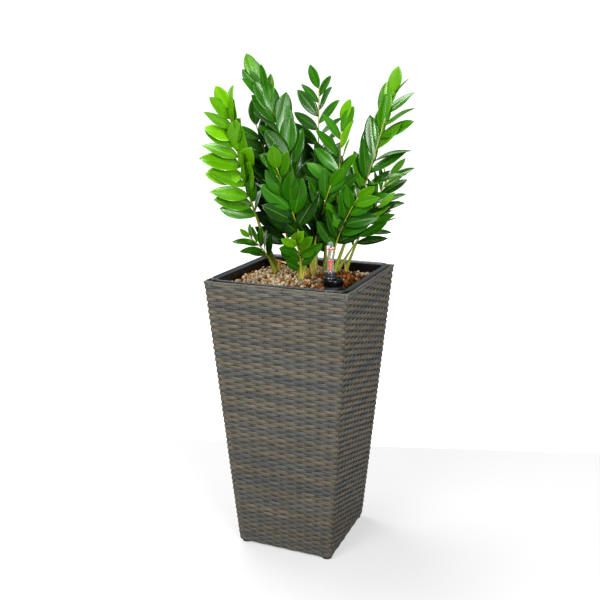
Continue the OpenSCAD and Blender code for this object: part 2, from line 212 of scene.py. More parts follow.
class Nodes:
    """Short-hand for building a node material."""

    def __init__(self, name):
        self.mat = bpy.data.materials.new(name)
        self.mat.use_nodes = True
        self.tree = self.mat.node_tree
        self.bsdf = self.tree.nodes["Principled BSDF"]

    def put(self, socket, value):
        if isinstance(value, bpy.types.NodeSocket):
            self.tree.links.new(value, socket)
        elif isinstance(value, (tuple, list)) and len(value) == 3 and socket.type == "RGBA":
            socket.default_value = (*value, 1)
        else:
            socket.default_value = value

    def new(self, kind, inputs=None, out=0, **settings):
        n = self.tree.nodes.new(kind)
        for k, v in settings.items():
            setattr(n, k, v)
        for k, v in (inputs or {}).items():
            self.put(n.inputs[k], v)
        return n.outputs[out]

    def value(self, name):
        return self.new("ShaderNodeAttribute", attribute_name=name, out=2)

    def vector(self, name):
        return self.new("ShaderNodeAttribute", attribute_name=name, out=1)

    def coords(self):
        return self.new("ShaderNodeTexCoord", out=3)

    def split(self, vec):
        return self.new("ShaderNodeSeparateXYZ", {0: vec}).node.outputs

    def scale(self, vec, by):
        return self.new("ShaderNodeVectorMath", {0: vec, 1: by}, operation="MULTIPLY")

    def noise(self, vec, scale, detail=3.0, rough=0.55):
        inputs = {"Vector": vec, "Scale": scale, "Detail": detail, "Roughness": rough}
        return self.new("ShaderNodeTexNoise", inputs)

    def cells(self, vec, scale, out=0):
        return self.new("ShaderNodeTexVoronoi", {"Vector": vec, "Scale": scale}, out=out)

    def math(self, op, a, b=0.0, clamp=False):
        return self.new("ShaderNodeMath", {0: a, 1: b}, operation=op, use_clamp=clamp)

    def remap(self, value, a, b, c=0.0, d=1.0):
        inputs = {"Value": value, "From Min": a, "From Max": b, "To Min": c, "To Max": d}
        return self.new("ShaderNodeMapRange", inputs)

    def mix(self, fac, a, b, blend="MIX"):
        n = self.tree.nodes.new("ShaderNodeMix")
        n.data_type = "RGBA"
        n.blend_type = blend
        for i, v in ((0, fac), (6, a), (7, b)):
            self.put(n.inputs[i], v)
        return n.outputs[2]

    def bump(self, height, strength, distance, normal=None):
        inputs = {"Height": height, "Strength": strength, "Distance": distance}
        if normal is not None:
            inputs["Normal"] = normal
        return self.new("ShaderNodeBump", inputs)

    def done(self, **inputs):
        for k, v in inputs.items():
            self.put(self.bsdf.inputs[k.replace("_", " ")], v)
        return self.mat


def strand_material(name, taupe, grey):
    """Extruded rattan-look strand: two tones, fine streaks along its length, faint ribs."""
    dark_streak = (0.02, 0.017, 0.014)
    pale_streak = (0.34, 0.31, 0.27)
    m = Nodes(name)
    lay = m.vector("lay")
    streak = m.noise(m.scale(lay, (14, 900, 40)), 1.0, 3, 0.6)
    drift = m.noise(m.scale(lay, (9, 60, 90)), 1.0, 2)
    tone = m.math("ADD", m.value("tone"), m.remap(drift, 0.3, 0.7, -0.28, 0.28), clamp=True)
    base = m.mix(tone, taupe, grey)
    base = m.mix(m.remap(streak, 0.34, 0.66), base, m.mix(0.5, base, dark_streak))
    pale = m.noise(m.scale(lay, (22, 1500, 70)), 1.0, 2)
    base = m.mix(m.remap(pale, 0.58, 0.75, 0, 0.42), base, pale_streak)
    shade = m.new("ShaderNodeCombineColor", {i: m.value("shade") for i in range(3)})
    base = m.mix(1.0, base, shade, "MULTIPLY")
    ribs = m.noise(m.scale(lay, (10, 2600, 50)), 1.0, 2)
    return m.done(Base_Color=base, Roughness=m.remap(streak, 0.3, 0.7, 0.38, 0.58),
                  Normal=m.bump(ribs, 0.35, 0.0004), Specular_IOR_Level=0.42)


def plastic_material(name, colour, rough, grain, wear, spec=0.5):
    """Moulded plastic with a fine grain, faint cloudiness and small scuffs."""
    m = Nodes(name)
    at = m.coords()
    cloud = m.noise(at, 9, 3)
    fine = m.noise(at, 1400, 2)
    scuff = m.noise(m.scale(at, (1, 1, 6)), 60, 4, 0.7)
    lighter = tuple(min(1.0, c * 1.5 + wear * 0.25) for c in colour)
    wear_and_corner_shade = tuple(min(1.0, c + wear) for c in colour)
    base = m.mix(m.remap(cloud, 0.35, 0.7, 0, 0.5), colour, lighter)
    base = m.mix(m.remap(scuff, 0.62, 0.8, 0, 0.35), base, wear_and_corner_shade)
    return m.done(Base_Color=base, Roughness=m.remap(cloud, 0.3, 0.7, rough - 0.05, rough + 0.1),
                  Normal=m.bump(fine, grain, 0.0002), Specular_IOR_Level=spec)


def steel_material():
    """Powder-coated steel: orange-peel texture, small rubbed spots."""
    coat = (0.022, 0.022, 0.024)
    rubbed = (0.06, 0.058, 0.055)
    m = Nodes("powder_coat")
    at = m.coords()
    peel = m.noise(at, 900, 2)
    spots = m.noise(at, 35, 4, 0.7)
    base = m.mix(m.remap(spots, 0.6, 0.75, 0, 0.6), coat, rubbed)
    return m.done(Base_Color=base, Roughness=m.remap(spots, 0.3, 0.7, 0.42, 0.6),
                  Normal=m.bump(peel, 0.3, 0.0003))


def liner_material():
    """The tub's black plastic, with painted light that makes its level rim and its other upward faces paler
    than its walls.
    """
    wall = (0.0016, 0.0018, 0.0022)
    # rim: painted light, the colour the black plastic is given where it faces up
    rim = (0.020, 0.026, 0.033)
    scuffed = (0.05, 0.055, 0.06)
    m = Nodes("liner_plastic")
    at = m.coords()
    upward = m.new("ShaderNodeSeparateXYZ", {0: m.new("ShaderNodeNewGeometry", out=1)}, out=2)
    # painted light: the more a face looks up, the more of the paler rim colour it takes
    level = m.remap(upward, 0.2, 0.7)
    cloud = m.noise(at, 9, 3)
    scuff = m.noise(m.scale(at, (1, 1, 6)), 60, 4, 0.7)
    base = m.mix(level, wall, rim)
    base = m.mix(m.math("MULTIPLY", m.remap(scuff, 0.6, 0.8, 0, 0.3), level), base, scuffed)
    return m.done(Base_Color=base, Roughness=m.remap(cloud, 0.3, 0.7, 0.30, 0.42),
                  Specular_IOR_Level=0.4, Normal=m.bump(m.noise(at, 1400, 2), 0.1, 0.0002))


def granule_material(name, low, high, dust, pores):
    """Porous granule: a tint of its own, speckle, pits with painted shade in them, and pale dust."""
    m = Nodes(name)
    at = m.coords()
    speck = m.noise(at, 900, 4, 0.65)
    pits = m.cells(at, 1500)
    base = m.mix(m.value("tone"), low, high)
    base = m.mix(m.remap(speck, 0.5, 0.75, 0, 0.55), base, dust)
    # painted shade: the pits are darkened toward a quarter of the low tint
    base = m.mix(m.remap(pits, 0.0, 0.28, 0.55 * pores, 0), base, tuple(c * 0.25 for c in low))
    normal = m.bump(speck, 0.7, 0.0012)
    normal = m.bump(pits, 0.6 * pores, 0.001, normal)
    return m.done(Base_Color=base, Roughness=0.88, Normal=normal, Specular_IOR_Level=0.25)


def granule_mass_material():
    """The granules deeper down, coloured as painted shade: dark cells with painted black shadow in the gaps
    between them.
    """
    m = Nodes("granule_mass")
    at = m.coords()
    cell = m.cells(at, 160)
    tint = m.new("ShaderNodeSeparateColor", {0: m.cells(at, 160, out=1)})
    # painted shade: the buried granules are coloured near black, and the gaps between the cells darker still
    # as painted shadow
    base = m.mix(m.remap(tint, 0.0, 1.0), (0.012, 0.006, 0.003), (0.035, 0.024, 0.014))
    base = m.mix(m.remap(cell, 0.35, 0.7), base, (0.005, 0.004, 0.003))
    return m.done(Base_Color=base, Roughness=0.9, Normal=m.bump(m.math("MULTIPLY", cell, -1.0), 1.0, 0.003))


def leaf_material():
    """Waxy leaf and stalk: tints from dark to fresh green, lowered by painted shade deep in the plant,
    midrib, faint veins, paler underside brightened further by painted light shining through.
    """
    deep_green = (0.0012, 0.016, 0.0006)
    mid_green = (0.024, 0.138, 0.0011)
    fresh_green = (0.17, 0.42, 0.003)
    m = Nodes("leaf_wax")
    along, across, own = m.split(m.vector("blade"))
    away = m.math("ABSOLUTE", across)
    # how fresh the green is, lowered by painted shade for leaflets deep in the plant
    fresh = m.value("fresh")
    green = m.mix(m.remap(fresh, 0.0, 0.5), deep_green, mid_green)
    green = m.mix(m.remap(fresh, 0.5, 1.0), green, fresh_green)
    mottle = m.noise(m.coords(), 55, 4, 0.6)
    green = m.mix(m.remap(mottle, 0.35, 0.7, 0, 0.25), green, (0.035, 0.16, 0.003))
    slant = m.math("ADD", along, m.math("MULTIPLY", away, -0.35))
    vein_place = m.new("ShaderNodeCombineXYZ", {0: slant, 1: 0.0, 2: own})
    veins = m.new("ShaderNodeTexWave", {"Vector": vein_place, "Scale": 4.2, "Distortion": 0.6})
    green = m.mix(m.remap(veins, 0.8, 1.0, 0, 0.10), green, (0.10, 0.30, 0.01))
    midrib = m.remap(away, 0.02, 0.08, 0.42, 0)
    green = m.mix(midrib, green, (0.15, 0.36, 0.02))
    # the underside is paler, and brightened further as painted light shining through the leaf
    underside = m.mix(m.remap(fresh, 0.0, 0.7, 0.2, 0.6), green, (0.20, 0.42, 0.02))
    green = m.mix(m.value("under"), green, underside)
    stem = m.mix(m.noise(m.coords(), 130, 3), (0.26, 0.27, 0.030), (0.13, 0.20, 0.012))
    stem = m.mix(fresh, stem, (0.32, 0.32, 0.06))
    colour = m.mix(m.value("stalk"), green, stem)
    dry = m.mix(m.noise(m.coords(), 240, 3), (0.50, 0.27, 0.05), (0.62, 0.44, 0.16))
    colour = m.mix(m.value("dry"), colour, dry)
    height = m.math("ADD", m.math("MULTIPLY", veins, 0.35), m.math("MULTIPLY", midrib, -0.6))
    gloss = m.remap(m.noise(m.coords(), 40, 2), 0.3, 0.7, 0.20, 0.34)
    return m.done(Base_Color=colour, Normal=m.bump(height, 0.35, 0.0006), Specular_IOR_Level=0.42,
                  Roughness=m.math("ADD", gloss, m.math("MULTIPLY", m.value("dry"), 0.5)))


def clear_material(name, tint, rough, thin, thick):
    """Clear plastic: see-through face on, denser towards its outline, with faint haze."""
    m = Nodes(name)
    haze = m.noise(m.scale(m.coords(), (1, 1, 0.2)), 60, 2)
    edge = m.new("ShaderNodeLayerWeight", {"Blend": 0.5}, out=1)
    return m.done(Base_Color=tint, Roughness=m.remap(haze, 0.4, 0.7, rough, rough + 0.05),
                  Specular_IOR_Level=1.0, Alpha=m.remap(edge, 0.25, 0.95, thin, thick),
                  Normal=m.bump(haze, 0.02, 0.0002))


# ---------- the casing's shape ----------

skin_co = np.array([v.co[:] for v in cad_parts["woven_skin"].data.vertices])
Z0 = skin_co[:, 2].min()
Z1 = skin_co[:, 2].max()
HALF0 = skin_co[skin_co[:, 2] < Z0 + 0.001, 0].max()
HALF1 = skin_co[skin_co[:, 2] > Z1 - 0.001, 0].max()
SLOPE = (HALF1 - HALF0) / (Z1 - Z0)
GAPS = 12                                # stake gaps on each side
CORNER_R = 4.0 * MM                      # how tightly a strand turns the corner
ROWS = 94


def half(z):
    """Half the casing's width at a height."""
    return HALF0 + SLOPE * (z - Z0)


def side_turn(i):
    """Rotation that carries the front side to side i."""
    c, s = [(1, 0), (0, 1), (-1, 0), (0, -1)][i]
    return np.array([[c, -s, 0], [s, c, 0], [0, 0, 1]], float)


def wrap_point(share, inset, z, corner_r=CORNER_R):
    """Point and outward normal at a share of the way along the front side, corner middle to corner middle.
    All arguments broadcast together."""
    share, inset, z = np.broadcast_arrays(share, inset, z)
    h = half(z)
    arc = corner_r * math.pi / 4
    flat = 2 * (h - corner_r)
    a = share * (flat + 2 * arc)
    left = np.clip(a / corner_r, 0, math.pi / 4) - math.pi / 4
    right = np.clip((a - arc - flat) / corner_r, 0, math.pi / 4)
    turn = left + right
    x0 = np.clip(a - arc, 0, flat) - flat / 2
    r = corner_r - inset
    x = x0 + r * np.sin(turn)
    y = -(h - corner_r) - r * np.cos(turn)
    normal = np.stack([np.sin(turn), -np.cos(turn), np.zeros_like(turn)], -1)
    return np.stack([x, y, z + 0 * x], -1), normal


def over_under(share):
    """1 where a strand passes outside a stake and -1 where it passes inside the next one."""
    return np.sin(math.pi / 2 * np.cos(math.pi * GAPS * share))


def strand_shares(z):
    """Where the sections of one side's strand lie: close together round the corners."""
    sections_per_gap = 6
    arc = CORNER_R * math.pi / 4 / (2 * (half(z) - CORNER_R) + CORNER_R * math.pi / 2)
    ends = np.array([0, 0.4, 0.8, 1.2]) * arc
    middle = np.linspace(1.7 * arc + 0.004, 1 - 1.7 * arc - 0.004, GAPS * sections_per_gap - 3)
    return np.concatenate([ends, middle, 1 - ends[::-1]])


# A flat half-round strand in cross-section (out, up), and where each point and the end of the loop lies
# round it in the bake
PROFILE = np.array([[0.0, -0.5], [0.74, -0.44], [1.0, -0.24], [1.0, 0.24], [0.74, 0.44], [0.0, 0.5],
                    [-0.12, 0.25], [-0.12, -0.25]])
PROFILE_V = np.array([0.06, 0.24, 0.46, 0.68, 0.86, 0.90, 0.94, 0.98, 1.0])
SIDES = len(PROFILE)


def strand_sections(path, out, up, thick, wide):
    """The profile set at each point of a path, thick outwards and wide upwards."""
    thick = np.broadcast_to(thick, (len(path),))[:, None, None]
    wide = np.broadcast_to(wide, (len(path),))[:, None, None]
    return (path[:, None] + out[:, None] * (PROFILE[None, :, 0, None] * thick)
            + up[:, None] * (PROFILE[None, :, 1, None] * wide))


def lay_of(along, own, girth=14 * MM, sides=SIDES):
    """Texture place of each vertex: along the strand, round it, and a value of its own."""
    around = np.linspace(0, girth, sides)
    return np.stack(np.broadcast_arrays(along[:, None], around[None, :], own), -1).reshape(-1, 3)


# The middles of the taupe bands, as shares of the way down
TAUPE_BANDS = (0.035, 0.10, 0.152, 0.205, 0.27, 0.345, 0.41, 0.475, 0.545, 0.60, 0.675, 0.76, 0.845, 0.93)
CALM_BELOW = 0.75                        # share of the way down from which the bands fade
CALM_TONE = 0.35


def row_tone(drop):
    """0 in the taupe bands and 1 in the blue-grey ones; drop is the share of the way down."""
    near = np.min([abs(drop - b) for b in TAUPE_BANDS])
    return float(np.clip((near - 0.012) / 0.014, 0, 1))


def row_levels():
    """Height and pitch of each row: the rows get a little taller towards the top."""
    margin = 0.2 * MM
    pitch = np.linspace(5.62, 6.42, ROWS)
    pitch *= (Z1 - Z0 - 2 * margin) / pitch.sum()
    return Z0 + margin + np.cumsum(pitch) - pitch / 2, pitch


def row_colour(k, place, share, z, index):
    """Tone and shade along one side of row k; place is 0 to 4 round the casing."""
    drop = 1 - (k + 0.5) / ROWS
    tone = row_tone(drop) + 0.15 * row_noise(k, 1.37, 5.0) + 0.12 * noise1(place * 1.7, k + 0.5)
    if drop > CALM_BELOW:
        tone = CALM_TONE + 0.5 * (tone - CALM_TONE)
    shade = 1.0 + 0.10 * row_noise(k, 2.7, 9.0) + 0.07 * noise1(place * 3.1, k + 20.0)
    shade = shade * (1.05 - 0.16 * drop)
    # the corners are painted darker and browner: painted shade where the strands turn round the corner stakes
    from_corner = np.minimum(share, 1 - share) * 2 * half(z) / (2.6 * MM)
    wear_and_corner_shade = np.exp(-from_corner ** 2) * (0.30 + 0.25 * row_noise(k, 3.3, 71.0 + index))
    shade = shade * (1 - np.clip(wear_and_corner_shade, 0, 0.6))
    tone = tone - 0.7 * np.exp(-(from_corner / 2.4) ** 2)
    return np.clip(tone, 0, 1), shade


def row_uvs(k, share):
    """Bake layout of a row: a level strip with u along the strand, and a small disc for each end."""
    r, c = np.meshgrid(np.arange(len(share) - 1), np.arange(SIDES), indexing="ij")
    r, c = r.ravel(), c.ravel()
    u = 0.004 + 0.992 * share
    v = (k + 0.04 + 0.92 * PROFILE_V) / ROWS
    corners = ((r, c), (r, c + 1), (r + 1, c + 1), (r + 1, c))
    quad = np.stack([np.stack([u[i], v[j]], -1) for i, j in corners], 1)
    disc = 0.0004 * circle_points(1, 0, SIDES)[:, :2]
    middle = (k + 0.5) / ROWS
    return [quad.reshape(-1, 2)] + [np.tile([[e, middle]], (SIDES, 1)) + disc for e in (0.0015, 0.9985)]


def weave_side(index):
    """One side's strands, row over row, each over and under the stakes."""
    inset_middle = 3.0                   # mm from the skin's face to the middle of the weave
    shape = Shape()
    uvs = []
    levels, pitch = row_levels()
    for k in range(ROWS):
        z = levels[k]
        share = strand_shares(z)
        place = index + share
        swing = over_under(share) * (1 if k % 2 else -1)
        # the rows swing deeper higher up, and the lowest ones lie close to the stakes
        depth = 1.15 + 0.45 * k / ROWS + 0.15 * noise1(place * 9.0, k * 3.1)
        depth = depth * min(1.0, 0.35 + 0.2 * k)
        rise = 0.28 * MM * noise1(place * 12.0, k * 1.7 + 40)
        path, out = wrap_point(share, (inset_middle - depth * swing) * MM, z + rise)
        wide = pitch[k] * (1.30 - 0.17 * k / ROWS + 0.09 * swing + 0.03 * noise1(place * 7.0, k + 90.0))
        thick = 0.95 * MM * (1 + 0.08 * noise1(place * 5.0, k + 50.0))
        tilt = 0.10 * noise1(place * 10.0, k + 7.0)
        up = unit(UP + out * SLOPE + out * tilt[:, None])
        co = strand_sections(path, out, up, thick, wide) @ side_turn(index).T
        tone, shade = row_colour(k, place, share, z, index)
        lay = lay_of(place * 2 * half(z) + k * 1.9, 0.37 * k)
        n = len(share)
        ends = [np.arange(SIDES)[None, :], np.arange((n - 1) * SIDES, n * SIDES)[None, ::-1]]
        shape.add(co, [grid_faces(n, SIDES, False, True), *ends], lay=lay,
                  tone=np.repeat(tone, SIDES), shade=np.repeat(shade, SIDES))
        uvs += row_uvs(k, share)
    return shape, uvs


# ---------- casing pieces ----------

STRAND = strand_material("rattan_strand", (0.137, 0.120, 0.090), (0.088, 0.094, 0.091))
BORDER = strand_material("rattan_border", (0.132, 0.119, 0.092), (0.090, 0.094, 0.090))
STAKE = strand_material("rattan_stake", (0.085, 0.066, 0.047), (0.055, 0.049, 0.041))

for i, side_name in enumerate(("front", "right", "back", "left")):
    shape, uvs = weave_side(i)
    hides = ("woven_skin",) if i == 0 else ()
    make_piece("weave_" + side_name, shape, STRAND, "casing", replaces=hides, uv=uvs)


def stakes():
    """Round rods that lean with the casing, one at each corner and evenly between them."""
    radius, depth, steps, sides = 1.4 * MM, 3.25 * MM, 40, 10
    shape = Shape()
    for i in range(4):
        for g in range(GAPS):
            ends = [side_turn(i) @ wrap_point(g / GAPS, depth, z)[0] for z in (Z0 + 2 * MM, Z1 - 1 * MM)]
            path = np.linspace(ends[0], ends[1], steps)
            z = path[:, 2] * 60
            path[:, :2] += 0.12 * MM * np.stack([noise1(z, i * 13 + g), noise1(z, i * 7 + g + 3)], -1)
            co, faces = tube(path, radius, sides)
            shape.add(co, faces, lay=lay_of(path[:, 2], i * 12.0 + g, 9 * MM, sides),
                      tone=RNG.random() * 0.5, shade=0.9 + 0.2 * RNG.random())
    return shape


make_piece("stakes", stakes(), STAKE, "casing", replaces=("weaving_stakes",))


def border_ring(shape, inset, z, wide, thick, seed, swing):
    """A strand right round the top edge. It waves over and under the stakes (swing 1 or -1) with its
    face outwards, or lies flat with its face up (swing 0)."""
    per_side = 96
    share = np.linspace(0, 1, per_side, endpoint=False)
    paths, outs = [], []
    for i in range(4):
        wob = 0.25 * MM * noise1((i + share) * 11, seed) + 0.55 * MM * over_under(share) * swing
        rise = 0.3 * MM * noise1((i + share) * 9, seed + 3)
        p, n = wrap_point(share, inset + wob, z + rise, 2.2 * MM)
        paths.append(p @ side_turn(i).T)
        outs.append(n @ side_turn(i).T)
    path = np.concatenate(paths)
    out = np.concatenate(outs)
    up = unit(UP + out * SLOPE)
    if swing == 0:
        up = -out
        out = np.broadcast_to(UP, out.shape)
    m = len(path)
    step = np.arange(m)
    tone = np.clip(0.25 + 0.25 * noise1(step / 9.0, seed), 0, 1)
    shade = 1.12 + 0.08 * noise1(step / 7.0, seed + 8)
    shape.add(strand_sections(path, out, up, thick, wide), [grid_faces(m, SIDES, True, True)],
              lay=lay_of(step / m * 1.2 + seed, seed * 0.7),
              tone=np.repeat(tone, SIDES), shade=np.repeat(shade, SIDES))


# A tuck's way from under the outer strand, up its face, over the top and down inside, as (depth, height)
# in mm, and its cross-section
TUCK_LOOP = ((1.6, -1.6), (0.5, -0.4), (0.2, 2.0), (0.1, 6.2), (0.3, 8.0), (1.6, 9.0), (3.4, 9.1),
             (4.6, 8.4), (4.9, 6.0))
TUCK_PROFILE = np.array([[-0.5, 0.0], [-0.36, 0.5], [0.0, 0.72], [0.36, 0.5], [0.5, 0.0], [0.0, -0.1]])
TUCK_T = 1.1 * MM
BARE_SHARE = 0.55                        # share of the places that carry no tuck


def tuck(shape, share, wide, z_low, i, own):
    path = np.array([wrap_point(share, depth * MM, z_low + height * MM)[0] for depth, height in TUCK_LOOP])
    sideways = np.array([1.0, 0, 0])
    out = unit(np.cross(unit(np.gradient(path, axis=0)), sideways))
    co = (path[:, None] + sideways * (TUCK_PROFILE[None, :, 0, None] * wide)
          - out[:, None] * (TUCK_PROFILE[None, :, 1, None] * TUCK_T))
    m, sides = len(path), len(TUCK_PROFILE)
    shape.add(co.reshape(-1, 3) @ side_turn(i).T, tube_faces(m, sides),
              lay=lay_of(np.arange(m) * 2 * MM, own, 5 * MM, sides),
              tone=RNG.random() * 0.8, shade=0.85 + 0.25 * RNG.random())


def border():
    """The top edge: two flat strands outside, one laid flat on top, and tucks round them."""
    shape = Shape()
    lo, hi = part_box("woven_rim_binding")
    border_ring(shape, 1.75 * MM, lo[2] + 1.6 * MM, 5.2 * MM, 1.1 * MM, 1, 1)
    border_ring(shape, 1.75 * MM, lo[2] + 6.1 * MM, 4.9 * MM, 1.1 * MM, 4, -1)
    border_ring(shape, 2.5 * MM, hi[2] + 0.2 * MM, 4.6 * MM, 1.3 * MM, 2, 0)
    places = GAPS * 2
    for i in range(4):
        for g in range(places):
            share = (g + 0.5) / places + 0.003 * RNG.standard_normal()
            if RNG.random() < BARE_SHARE:
                continue
            tuck(shape, share, (1.8 + 0.7 * RNG.random()) * MM, lo[2], i, g + 30.0 * i)
    return shape


make_piece("border", border(), BORDER, "casing", replaces=("woven_rim_binding",))

CORNERS = ("front_left", "front_right", "back_left", "back_right")
dress(("frame_base_ring", "frame_top_ring", "frame_hoop_lower", "frame_hoop_upper", "base_cross_bars",
       *["corner_post_" + corner for corner in CORNERS]), steel_material())

# Half of a glide's outline in mm: a flared disc and a stud with a catch
GLIDE = ((0.01, 0), (6, 0), (6.4, 0.35), (6.9, 0.35), (7.3, 0), (9.0, 0.05), (10.2, 0.5), (10.9, 1.6),
         (11, 4.4), (10.6, 4.95), (4.1, 4.95), (3.95, 5.2), (3.95, 8), (3.6, 8.5), (3.95, 9), (3.95, 14.4),
         (3.3, 15), (0.01, 15))
FOOT = plastic_material("glide_plastic", (0.02, 0.02, 0.021), 0.5, 0.3, 0.05)
for corner in CORNERS:
    name = "foot_" + corner
    make_piece(name + "_shown", turned(GLIDE, axis_of(name), 48), FOOT, "casing", replaces=(name,))


# ---------- liner ----------

tub_lo, tub_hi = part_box("liner_tub")
tub_co = np.array([v.co[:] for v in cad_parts["liner_tub"].data.vertices])
TUB_Z0 = tub_lo[2]
RIM_Z = tub_hi[2]
TUB_HALF0 = tub_co[tub_co[:, 2] < TUB_Z0 + 0.0005, 0].max()
TUB_HALF1 = tub_hi[0] - 12 * MM          # the tub's outside under its rim
RIM_T = 5 * MM
WALL = 2.5 * MM
# The rolled rim from the tub's inner wall over the top and back under, as (out, up) from the wall in mm
RIM_OUTLINE = ((0.1, -6), (0.3, -4.2), (0.8, -2.9), (1.6, -2.3), (2.6, -2.15), (4.6, -2.1), (6.8, -2.1),
               (7.8, -1.9), (8.6, -1.1), (9.6, -0.3), (10.8, 0.0), (12.2, -0.2), (13.5, -0.9), (14.2, -2.0),
               (14.45, -3.2), (14.3, -4.6), (13.4, -5.0), (11.8, -4.4), (9.0, -4.6), (4.5, -4.8))


def tub_half(z):
    """Half the tub's outer width at a height."""
    return TUB_HALF0 + (TUB_HALF1 - TUB_HALF0) * (z - TUB_Z0) / (RIM_Z - RIM_T - TUB_Z0)


def rounded_ring(half_w, radius, z, per_corner=12):
    """Points of a rounded square, counter-clockwise from above."""
    pts = []
    for q, (cx, cy) in enumerate(((1, 1), (-1, 1), (-1, -1), (1, -1))):
        a = np.linspace(0, math.pi / 2, per_corner) + q * math.pi / 2
        x = cx * (half_w - radius) + radius * np.cos(a)
        y = cy * (half_w - radius) + radius * np.sin(a)
        pts.append(np.stack([x, y, np.full(per_corner, z)], -1))
    return np.concatenate(pts)


def liner():
    """The tub as rings: from the drain hole over the floor, up inside, over the rim and down outside."""
    corner_r, least_r, drain_r = 17 * MM, 8 * MM, 10 * MM
    floor_z = TUB_Z0 + WALL
    floor_half = tub_half(floor_z) - WALL
    levels = [(floor_half - 4 * MM, floor_z), (floor_half - 0.8 * MM, floor_z + 0.8 * MM),
              (tub_half(TUB_Z0 + 6 * MM) - WALL, floor_z + 4 * MM)]
    levels += [(tub_half(z) - WALL, z) for z in np.linspace(TUB_Z0 + 12 * MM, RIM_Z - 8 * MM, 8)]
    inner = tub_half(RIM_Z - RIM_T) - WALL
    levels += [(inner + out * MM, RIM_Z + up * MM) for out, up in RIM_OUTLINE]
    levels += [(tub_half(z), z) for z in np.linspace(RIM_Z - 7 * MM, TUB_Z0 + 3 * MM, 9)]
    levels += [(tub_half(TUB_Z0) - 0.6 * MM, TUB_Z0 + 0.6 * MM), (tub_half(TUB_Z0) - 3 * MM, TUB_Z0)]
    rings = [rounded_ring(h, max(corner_r + (h - tub_half(z)), least_r), z) for h, z in levels]
    a = np.arctan2(rings[0][:, 1], rings[0][:, 0])
    hole = [np.stack([drain_r * np.cos(a), drain_r * np.sin(a), np.full(len(a), z)], -1)
            for z in (floor_z, TUB_Z0)]
    rings = [hole[0]] + rings + [hole[1]]
    shape = Shape()
    shape.add(np.stack(rings), [grid_faces(len(rings), len(a), True, True)])
    return shape


make_piece("liner", liner(), liner_material(), "liner", replaces=("liner_tub",))
dress(("separator_plate", "separator_legs", "wicking_cup_front_left", "wicking_cup_back_left",
       "wicking_cup_back_right", "fill_tube"),
      plastic_material("insert_plastic", (0.025, 0.026, 0.028), 0.5, 0.2, 0.05))


# ---------- granules ----------

def blob(seed, rough, stretch, flat=0.0):
    """A lumpy pebble of radius 1 with 42 points, and with broken faces if flat is above 0."""
    bm = bmesh.new()
    bmesh.ops.create_icosphere(bm, subdivisions=2, radius=1.0)
    co = np.array([v.co[:] for v in bm.verts])
    tri = np.array([[v.index for v in f.verts] for f in bm.faces])
    bm.free()
    rng = np.random.default_rng(seed)
    bump = np.zeros(len(co))
    for f, amp in ((1.6, 1.0), (3.1, 0.55), (5.5, 0.25)):
        for _ in range(4):
            d = unit(rng.standard_normal(3))
            bump += amp * np.sin(f * (co @ d) * 2 + rng.random() * 6.28) / 4
    co = co * (1 + rough * bump[:, None])
    if flat:
        for _ in range(5):
            d = unit(rng.standard_normal(3))
            h = co @ d
            limit = 0.72 + 0.12 * rng.random()
            co -= np.where(h > limit, (h - limit) * flat, 0)[:, None] * d
    return co * np.asarray(stretch), tri


BED_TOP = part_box("granule_bed")[1][2]
cap_lo, cap_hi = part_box("fill_cap")
CAP_X, CAP_Y, _ = axis_of("fill_cap")
CAP_R = (cap_hi[0] - cap_lo[0]) / 2
BED_GAP = 0.3 * MM                       # between the granules and the tub's wall
BED_HALF = tub_half(RIM_Z - 18 * MM) - WALL - BED_GAP


def bed_height(x, y):
    """The surface of the granules: a shallow mound with small hummocks."""
    r2 = (x * x + y * y) / (BED_HALF * BED_HALF)
    hummock = 1.6 * np.sin(x * 61 + 1.3) * np.cos(y * 47 + 0.4) + 0.9 * np.sin(x * 130 + y * 90)
    return BED_TOP - (2.0 + 8.5 * np.clip(r2, 0, 1.7) ** 0.9 - hummock) * MM
